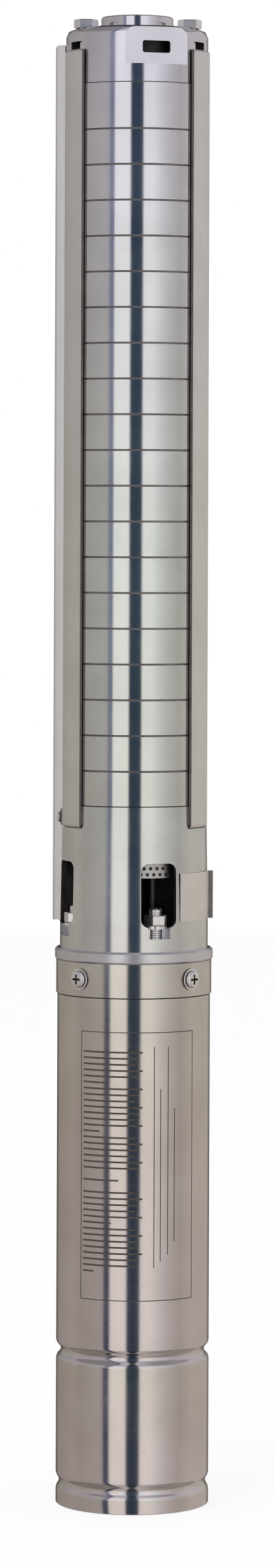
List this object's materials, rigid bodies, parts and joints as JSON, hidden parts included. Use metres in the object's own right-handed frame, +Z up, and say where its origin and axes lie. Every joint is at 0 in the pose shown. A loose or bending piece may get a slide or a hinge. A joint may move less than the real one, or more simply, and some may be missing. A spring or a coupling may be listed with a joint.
{
  "type": "borehole submersible pump",
  "caption": "Slim upright multistage borehole pump: canned motor, windowed suction lantern, strapped stack of stage rings, cable guard and threaded discharge head with check valve.",
  "frame": {"origin": "centre of the flat foot of the motor, on the pump's axis", "axes": "+Z up along the pump's axis to the outlet; -Y is the front, as in the picture"},
  "size_m": [0.0998, 0.0982, 0.925],
  "materials": {
    "drawn_stainless": "deep-drawn stainless sheet, polished",
    "cast_stainless": "cast stainless steel, machined and polished",
    "strap_stainless": "rolled stainless strip, satin",
    "motor_stainless": "polished stainless tube",
    "fastener_stainless": "cold-headed stainless steel",
    "sheet_stainless": "pressed stainless sheet",
    "bar_stainless": "ground stainless bar",
    "lead_rubber": "moulded EPDM sheath, dark green-black",
    "seal_rubber": "moulded nitrile rubber",
    "bearing_carbon": "carbon graphite",
    "ring_plastic": "moulded composite",
    "lamination_iron": "stacked electrical steel",
    "winding_copper": "enamelled copper wire",
    "bracket_iron": "grey cast iron, machined"
  },
  "bodies": {
    "casing": {"stage_chambers": "drawn_stainless", "top_chamber": "drawn_stainless", "discharge_head": "cast_stainless", "suction_lantern": "cast_stainless", "motor_flange": "cast_stainless", "valve_guide": "cast_stainless", "valve_seat": "cast_stainless", "strap_front_left": "strap_stainless", "strap_front_right": "strap_stainless", "strap_rear": "strap_stainless", "cable_guard": "strap_stainless", "motor_shell": "motor_stainless", "flange_sleeve": "motor_stainless", "base_cap": "motor_stainless", "strap_bolts": "fastener_stainless", "guard_screws": "fastener_stainless", "motor_studs": "fastener_stainless", "motor_nuts": "fastener_stainless", "lock_washers": "fastener_stainless", "sleeve_screws": "fastener_stainless", "strainer": "sheet_stainless", "data_plate": "sheet_stainless", "valve_spring": "bar_stainless", "motor_lead": "lead_rubber", "shaft_seal": "seal_rubber", "diaphragm": "seal_rubber", "top_bearing": "seal_rubber", "motor_bearings": "bearing_carbon", "thrust_bearing": "bearing_carbon", "wear_rings": "ring_plastic", "stator_core": "lamination_iron", "stator_windings": "winding_copper", "lower_bracket": "bracket_iron"},
    "rotor": {"pump_shaft": "bar_stainless", "impellers": "sheet_stainless", "bearing_sleeve": "bar_stainless", "shaft_nut": "fastener_stainless", "shaft_coupling": "bar_stainless", "motor_shaft": "bar_stainless", "rotor_core": "lamination_iron", "thrust_disc": "bar_stainless"},
    "valve": {"valve_cup": "sheet_stainless"}
  },
  "joints": [
    {"name": "rotor_spin", "type": "hinge", "parent": "casing", "child": "rotor", "pos_m": [0, 0, 0.4], "axis": [0, 0, 1], "continuous": true},
    {"name": "valve_lift", "type": "slide", "parent": "casing", "child": "valve", "axis": [0, 0, 1], "range_m": [0, 0.007], "stiffness_N_per_m": 150, "springref_m": -0.004, "deforming": ["valve_spring"]}
  ]
}
